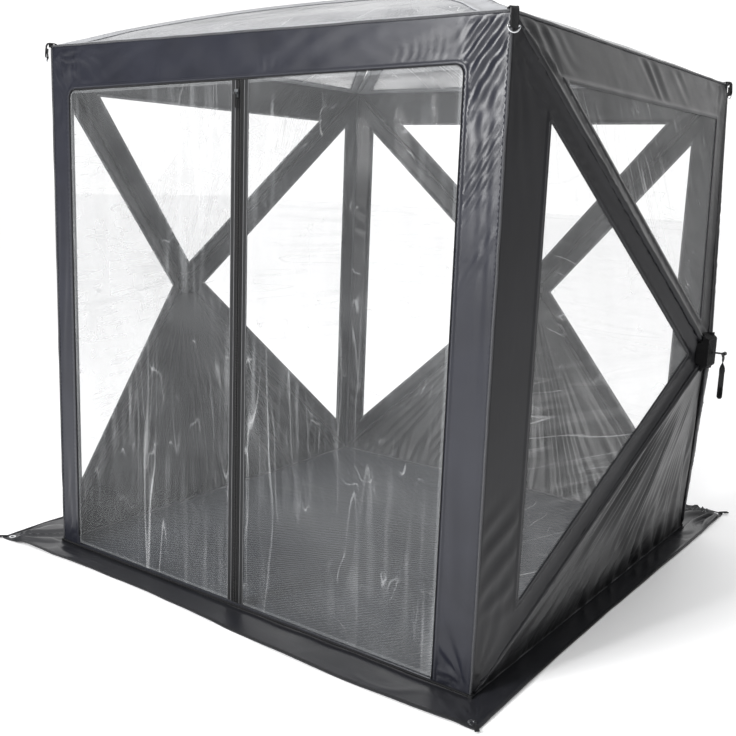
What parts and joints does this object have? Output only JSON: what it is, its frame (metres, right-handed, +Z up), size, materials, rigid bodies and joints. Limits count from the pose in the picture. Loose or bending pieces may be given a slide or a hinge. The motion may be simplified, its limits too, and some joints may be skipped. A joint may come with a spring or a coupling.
{
  "type": "pop-up growing shelter",
  "caption": "Box-shaped pop-up growing shelter with clear film walls, sprung hubs and poles, a zipped front and a ground flap.",
  "frame": {"origin": "centre of the floor sheet's underside", "axes": "+X to the right seen from the front, -Y out of the front, +Z up"},
  "size_m": [1.734, 1.582, 1.454],
  "materials": {
    "fabric": "satin coated polyester",
    "groundsheet": "woven polyethylene",
    "film": "clear soft film",
    "roof_film": "translucent soft film",
    "webbing": "woven webbing",
    "seam": "piped seam",
    "steel": "plated steel wire",
    "pin_steel": "turned steel",
    "hub_plastic": "moulded",
    "pole": "glass fibre rod",
    "zip": "moulded"
  },
  "bodies": {
    "root": {"floor_sheet": "groundsheet", "ground_flap": "fabric", "peg_eyelets": "steel", "front_surround": "fabric", "edge_seams": "seam", "corner_anchors": "hub_plastic", "guy_loops": "webbing"},
    "right_hub": {"right_hub": "hub_plastic", "right_hub_pins": "pin_steel"},
    "right_front_window": {"right_front_window": "film"},
    "right_top_window": {"right_top_window": "film"},
    "right_rear_window": {"right_rear_window": "film"},
    "right_lower_panel": {"right_lower_panel": "fabric"},
    "right_upper_front_pole": {"right_upper_front_pole": "pole"},
    "right_upper_rear_pole": {"right_upper_rear_pole": "pole"},
    "right_lower_front_pole": {"right_lower_front_pole": "pole"},
    "right_lower_rear_pole": {"right_lower_rear_pole": "pole"},
    "right_pull_strap": {"right_pull_strap": "webbing"},
    "left_hub": {"left_hub": "hub_plastic", "left_hub_pins": "pin_steel"},
    "left_front_window": {"left_front_window": "film"},
    "left_top_window": {"left_top_window": "film"},
    "left_rear_window": {"left_rear_window": "film"},
    "left_lower_panel": {"left_lower_panel": "fabric"},
    "left_upper_front_pole": {"left_upper_front_pole": "pole"},
    "left_upper_rear_pole": {"left_upper_rear_pole": "pole"},
    "left_lower_front_pole": {"left_lower_front_pole": "pole"},
    "left_lower_rear_pole": {"left_lower_rear_pole": "pole"},
    "left_pull_strap": {"left_pull_strap": "webbing"},
    "back_hub": {"back_hub": "hub_plastic", "back_hub_pins": "pin_steel"},
    "back_right_window": {"back_right_window": "film"},
    "back_top_window": {"back_top_window": "film"},
    "back_left_window": {"back_left_window": "film"},
    "back_lower_panel": {"back_lower_panel": "fabric"},
    "back_upper_right_pole": {"back_upper_right_pole": "pole"},
    "back_upper_left_pole": {"back_upper_left_pole": "pole"},
    "back_lower_right_pole": {"back_lower_right_pole": "pole"},
    "back_lower_left_pole": {"back_lower_left_pole": "pole"},
    "back_pull_strap": {"back_pull_strap": "webbing"},
    "roof_hub": {"roof_hub": "hub_plastic", "roof_hub_pins": "pin_steel"},
    "roof_front_pane": {"roof_front_pane": "roof_film"},
    "roof_rear_pane": {"roof_rear_pane": "roof_film"},
    "roof_left_pane": {"roof_left_pane": "roof_film"},
    "roof_right_pane": {"roof_right_pane": "roof_film"},
    "roof_front_right_pole": {"roof_front_right_pole": "pole"},
    "roof_front_left_pole": {"roof_front_left_pole": "pole"},
    "roof_rear_right_pole": {"roof_rear_right_pole": "pole"},
    "roof_rear_left_pole": {"roof_rear_left_pole": "pole"},
    "roof_pull_strap": {"roof_pull_strap": "webbing"},
    "left_door_flap": {"left_door_flap": "film"},
    "right_door_flap": {"right_door_flap": "film"},
    "zip_slider": {"zip_slider": "zip"},
    "zip_pull": {"zip_pull": "zip"},
    "front_left_guy_ring": {"front_left_guy_ring": "steel"},
    "front_right_guy_ring": {"front_right_guy_ring": "steel"},
    "rear_left_guy_ring": {"rear_left_guy_ring": "steel"},
    "rear_right_guy_ring": {"rear_right_guy_ring": "steel"}
  },
  "joints": [
    {"name": "right_hub_pop", "type": "slide", "parent": "root", "child": "right_hub", "axis": [-1, 0, 0], "range_m": [0, 0.4]},
    {"name": "right_front_window_fold", "type": "hinge", "parent": "root", "child": "right_front_window", "pos_m": [0.625, -0.625, 0.635], "axis": [0, 0, 1], "range_deg": [0, 35.51]},
    {"name": "right_top_window_fold", "type": "hinge", "parent": "root", "child": "right_top_window", "pos_m": [0.625, 0, 1.27], "axis": [0, 1, 0], "range_deg": [0, 34.98]},
    {"name": "right_rear_window_fold", "type": "hinge", "parent": "root", "child": "right_rear_window", "pos_m": [0.625, 0.625, 0.635], "axis": [0, 0, -1], "range_deg": [0, 35.51]},
    {"name": "right_lower_panel_fold", "type": "hinge", "parent": "root", "child": "right_lower_panel", "pos_m": [0.625, 0, 0], "axis": [0, -1, 0], "range_deg": [0, 34.98]},
    {"name": "right_upper_front_pole_pivot", "type": "hinge", "parent": "right_hub", "child": "right_upper_front_pole", "pos_m": [0.825, -0.01543, 0.65068], "axis": [0, 0.7127, 0.7015], "range_deg": [0, 25.94]},
    {"name": "right_upper_rear_pole_pivot", "type": "hinge", "parent": "right_hub", "child": "right_upper_rear_pole", "pos_m": [0.825, 0.01543, 0.65068], "axis": [0, 0.7127, -0.7015], "range_deg": [0, 25.94]},
    {"name": "right_lower_front_pole_pivot", "type": "hinge", "parent": "right_hub", "child": "right_lower_front_pole", "pos_m": [0.825, -0.01543, 0.61932], "axis": [0, -0.7127, 0.7015], "range_deg": [0, 25.94]},
    {"name": "right_lower_rear_pole_pivot", "type": "hinge", "parent": "right_hub", "child": "right_lower_rear_pole", "pos_m": [0.825, 0.01543, 0.61932], "axis": [0, -0.7127, -0.7015], "range_deg": [0, 25.94]},
    {"name": "right_pull_strap_swing", "type": "hinge", "parent": "right_hub", "child": "right_pull_strap", "pos_m": [0.863, 0, 0.635], "axis": [0, -1, 0], "range_deg": [0, 95]},
    {"name": "left_hub_pop", "type": "slide", "parent": "root", "child": "left_hub", "axis": [1, 0, 0], "range_m": [0, 0.4]},
    {"name": "left_front_window_fold", "type": "hinge", "parent": "root", "child": "left_front_window", "pos_m": [-0.625, -0.625, 0.635], "axis": [0, 0, -1], "range_deg": [0, 35.51]},
    {"name": "left_top_window_fold", "type": "hinge", "parent": "root", "child": "left_top_window", "pos_m": [-0.625, 0, 1.27], "axis": [0, -1, 0], "range_deg": [0, 34.98]},
    {"name": "left_rear_window_fold", "type": "hinge", "parent": "root", "child": "left_rear_window", "pos_m": [-0.625, 0.625, 0.635], "axis": [0, 0, 1], "range_deg": [0, 35.51]},
    {"name": "left_lower_panel_fold", "type": "hinge", "parent": "root", "child": "left_lower_panel", "pos_m": [-0.625, 0, 0], "axis": [0, 1, 0], "range_deg": [0, 34.98]},
    {"name": "left_upper_front_pole_pivot", "type": "hinge", "parent": "left_hub", "child": "left_upper_front_pole", "pos_m": [-0.825, -0.01543, 0.65068], "axis": [0, -0.7127, -0.7015], "range_deg": [0, 25.94]},
    {"name": "left_upper_rear_pole_pivot", "type": "hinge", "parent": "left_hub", "child": "left_upper_rear_pole", "pos_m": [-0.825, 0.01543, 0.65068], "axis": [0, -0.7127, 0.7015], "range_deg": [0, 25.94]},
    {"name": "left_lower_front_pole_pivot", "type": "hinge", "parent": "left_hub", "child": "left_lower_front_pole", "pos_m": [-0.825, -0.01543, 0.61932], "axis": [0, 0.7127, -0.7015], "range_deg": [0, 25.94]},
    {"name": "left_lower_rear_pole_pivot", "type": "hinge", "parent": "left_hub", "child": "left_lower_rear_pole", "pos_m": [-0.825, 0.01543, 0.61932], "axis": [0, 0.7127, 0.7015], "range_deg": [0, 25.94]},
    {"name": "left_pull_strap_swing", "type": "hinge", "parent": "left_hub", "child": "left_pull_strap", "pos_m": [-0.863, 0, 0.635], "axis": [0, 1, 0], "range_deg": [0, 95]},
    {"name": "back_hub_pop", "type": "slide", "parent": "root", "child": "back_hub", "axis": [0, -1, 0], "range_m": [0, 0.4]},
    {"name": "back_right_window_fold", "type": "hinge", "parent": "root", "child": "back_right_window", "pos_m": [0.625, 0.625, 0.635], "axis": [0, 0, 1], "range_deg": [0, 35.51]},
    {"name": "back_top_window_fold", "type": "hinge", "parent": "root", "child": "back_top_window", "pos_m": [0, 0.625, 1.27], "axis": [-1, 0, 0], "range_deg": [0, 34.98]},
    {"name": "back_left_window_fold", "type": "hinge", "parent": "root", "child": "back_left_window", "pos_m": [-0.625, 0.625, 0.635], "axis": [0, 0, -1], "range_deg": [0, 35.51]},
    {"name": "back_lower_panel_fold", "type": "hinge", "parent": "root", "child": "back_lower_panel", "pos_m": [0, 0.625, 0], "axis": [1, 0, 0], "range_deg": [0, 34.98]},
    {"name": "back_upper_right_pole_pivot", "type": "hinge", "parent": "back_hub", "child": "back_upper_right_pole", "pos_m": [0.01543, 0.825, 0.65068], "axis": [-0.7127, 0, 0.7015], "range_deg": [0, 25.94]},
    {"name": "back_upper_left_pole_pivot", "type": "hinge", "parent": "back_hub", "child": "back_upper_left_pole", "pos_m": [-0.01543, 0.825, 0.65068], "axis": [-0.7127, 0, -0.7015], "range_deg": [0, 25.94]},
    {"name": "back_lower_right_pole_pivot", "type": "hinge", "parent": "back_hub", "child": "back_lower_right_pole", "pos_m": [0.01543, 0.825, 0.61932], "axis": [0.7127, 0, 0.7015], "range_deg": [0, 25.94]},
    {"name": "back_lower_left_pole_pivot", "type": "hinge", "parent": "back_hub", "child": "back_lower_left_pole", "pos_m": [-0.01543, 0.825, 0.61932], "axis": [0.7127, 0, -0.7015], "range_deg": [0, 25.94]},
    {"name": "back_pull_strap_swing", "type": "hinge", "parent": "back_hub", "child": "back_pull_strap", "pos_m": [0, 0.863, 0.635], "axis": [1, 0, 0], "range_deg": [0, 95]},
    {"name": "roof_hub_pop", "type": "slide", "parent": "root", "child": "roof_hub", "axis": [0, 0, -1], "range_m": [0, 0.35]},
    {"name": "roof_front_pane_fold", "type": "hinge", "parent": "root", "child": "roof_front_pane", "pos_m": [0, -0.625, 1.27], "axis": [-1, 0, 0], "range_deg": [0, 31.3]},
    {"name": "roof_rear_pane_fold", "type": "hinge", "parent": "root", "child": "roof_rear_pane", "pos_m": [0, 0.625, 1.27], "axis": [1, 0, 0], "range_deg": [0, 31.3]},
    {"name": "roof_left_pane_fold", "type": "hinge", "parent": "root", "child": "roof_left_pane", "pos_m": [-0.625, 0, 1.27], "axis": [0, 1, 0], "range_deg": [0, 31.3]},
    {"name": "roof_right_pane_fold", "type": "hinge", "parent": "root", "child": "roof_right_pane", "pos_m": [0.625, 0, 1.27], "axis": [0, -1, 0], "range_deg": [0, 31.3]},
    {"name": "roof_front_right_pole_pivot", "type": "hinge", "parent": "roof_hub", "child": "roof_front_right_pole", "pos_m": [0.01556, -0.01556, 1.445], "axis": [-0.7071, -0.7071, 0], "range_deg": [0, 22.98]},
    {"name": "roof_front_left_pole_pivot", "type": "hinge", "parent": "roof_hub", "child": "roof_front_left_pole", "pos_m": [-0.01556, -0.01556, 1.445], "axis": [-0.7071, 0.7071, 0], "range_deg": [0, 22.98]},
    {"name": "roof_rear_right_pole_pivot", "type": "hinge", "parent": "roof_hub", "child": "roof_rear_right_pole", "pos_m": [0.01556, 0.01556, 1.445], "axis": [0.7071, -0.7071, 0], "range_deg": [0, 22.98]},
    {"name": "roof_rear_left_pole_pivot", "type": "hinge", "parent": "roof_hub", "child": "roof_rear_left_pole", "pos_m": [-0.01556, 0.01556, 1.445], "axis": [0.7071, 0.7071, 0], "range_deg": [0, 22.98]},
    {"name": "roof_pull_strap_swing", "type": "hinge", "parent": "roof_hub", "child": "roof_pull_strap", "pos_m": [0, 0, 1.407], "axis": [1, 0, 0], "range_deg": [-60, 60]},
    {"name": "left_door_flap_swing", "type": "hinge", "parent": "root", "child": "left_door_flap", "pos_m": [-0.56, -0.625, 0.589], "axis": [0, 0, -1], "range_deg": [0, 100]},
    {"name": "right_door_flap_swing", "type": "hinge", "parent": "root", "child": "right_door_flap", "pos_m": [0.535, -0.625, 0.589], "axis": [0, 0, 1], "range_deg": [0, 100]},
    {"name": "zip_slider_run", "type": "slide", "parent": "left_door_flap", "child": "zip_slider", "axis": [0, 0, -1], "range_m": [0, 1.112]},
    {"name": "zip_pull_flip", "type": "hinge", "parent": "zip_slider", "child": "zip_pull", "pos_m": [-0.0055, -0.6354, 1.148], "axis": [-1, 0, 0], "range_deg": [0, 170]},
    {"name": "front_left_guy_ring_swing", "type": "hinge", "parent": "root", "child": "front_left_guy_ring", "pos_m": [-0.63348, -0.63348, 1.244], "axis": [-0.7071, 0.7071, 0], "range_deg": [0, 150]},
    {"name": "front_right_guy_ring_swing", "type": "hinge", "parent": "root", "child": "front_right_guy_ring", "pos_m": [0.63348, -0.63348, 1.244], "axis": [-0.7071, -0.7071, 0], "range_deg": [0, 150]},
    {"name": "rear_left_guy_ring_swing", "type": "hinge", "parent": "root", "child": "rear_left_guy_ring", "pos_m": [-0.63348, 0.63348, 1.244], "axis": [0.7071, 0.7071, 0], "range_deg": [0, 150]},
    {"name": "rear_right_guy_ring_swing", "type": "hinge", "parent": "root", "child": "rear_right_guy_ring", "pos_m": [0.63348, 0.63348, 1.244], "axis": [0.7071, -0.7071, 0], "range_deg": [0, 150]}
  ],
  "couplings": [
    {"joint": "right_front_window_fold", "follows": "right_hub_pop", "rad_per_m": 1.5485},
    {"joint": "right_top_window_fold", "follows": "right_hub_pop", "rad_per_m": 1.5256},
    {"joint": "right_rear_window_fold", "follows": "right_hub_pop", "rad_per_m": 1.5485},
    {"joint": "right_lower_panel_fold", "follows": "right_hub_pop", "rad_per_m": 1.5256},
    {"joint": "right_upper_front_pole_pivot", "follows": "right_hub_pop", "rad_per_m": 1.1311},
    {"joint": "right_upper_rear_pole_pivot", "follows": "right_hub_pop", "rad_per_m": 1.1311},
    {"joint": "right_lower_front_pole_pivot", "follows": "right_hub_pop", "rad_per_m": 1.1311},
    {"joint": "right_lower_rear_pole_pivot", "follows": "right_hub_pop", "rad_per_m": 1.1311},
    {"joint": "left_front_window_fold", "follows": "left_hub_pop", "rad_per_m": 1.5485},
    {"joint": "left_top_window_fold", "follows": "left_hub_pop", "rad_per_m": 1.5256},
    {"joint": "left_rear_window_fold", "follows": "left_hub_pop", "rad_per_m": 1.5485},
    {"joint": "left_lower_panel_fold", "follows": "left_hub_pop", "rad_per_m": 1.5256},
    {"joint": "left_upper_front_pole_pivot", "follows": "left_hub_pop", "rad_per_m": 1.1311},
    {"joint": "left_upper_rear_pole_pivot", "follows": "left_hub_pop", "rad_per_m": 1.1311},
    {"joint": "left_lower_front_pole_pivot", "follows": "left_hub_pop", "rad_per_m": 1.1311},
    {"joint": "left_lower_rear_pole_pivot", "follows": "left_hub_pop", "rad_per_m": 1.1311},
    {"joint": "back_right_window_fold", "follows": "back_hub_pop", "rad_per_m": 1.5485},
    {"joint": "back_top_window_fold", "follows": "back_hub_pop", "rad_per_m": 1.5256},
    {"joint": "back_left_window_fold", "follows": "back_hub_pop", "rad_per_m": 1.5485},
    {"joint": "back_lower_panel_fold", "follows": "back_hub_pop", "rad_per_m": 1.5256},
    {"joint": "back_upper_right_pole_pivot", "follows": "back_hub_pop", "rad_per_m": 1.1311},
    {"joint": "back_upper_left_pole_pivot", "follows": "back_hub_pop", "rad_per_m": 1.1311},
    {"joint": "back_lower_right_pole_pivot", "follows": "back_hub_pop", "rad_per_m": 1.1311},
    {"joint": "back_lower_left_pole_pivot", "follows": "back_hub_pop", "rad_per_m": 1.1311},
    {"joint": "roof_front_pane_fold", "follows": "roof_hub_pop", "rad_per_m": 1.56},
    {"joint": "roof_rear_pane_fold", "follows": "roof_hub_pop", "rad_per_m": 1.56},
    {"joint": "roof_left_pane_fold", "follows": "roof_hub_pop", "rad_per_m": 1.56},
    {"joint": "roof_right_pane_fold", "follows": "roof_hub_pop", "rad_per_m": 1.56},
    {"joint": "roof_front_right_pole_pivot", "follows": "roof_hub_pop", "rad_per_m": 1.1447},
    {"joint": "roof_front_left_pole_pivot", "follows": "roof_hub_pop", "rad_per_m": 1.1447},
    {"joint": "roof_rear_right_pole_pivot", "follows": "roof_hub_pop", "rad_per_m": 1.1447},
    {"joint": "roof_rear_left_pole_pivot", "follows": "roof_hub_pop", "rad_per_m": 1.1447}
  ]
}
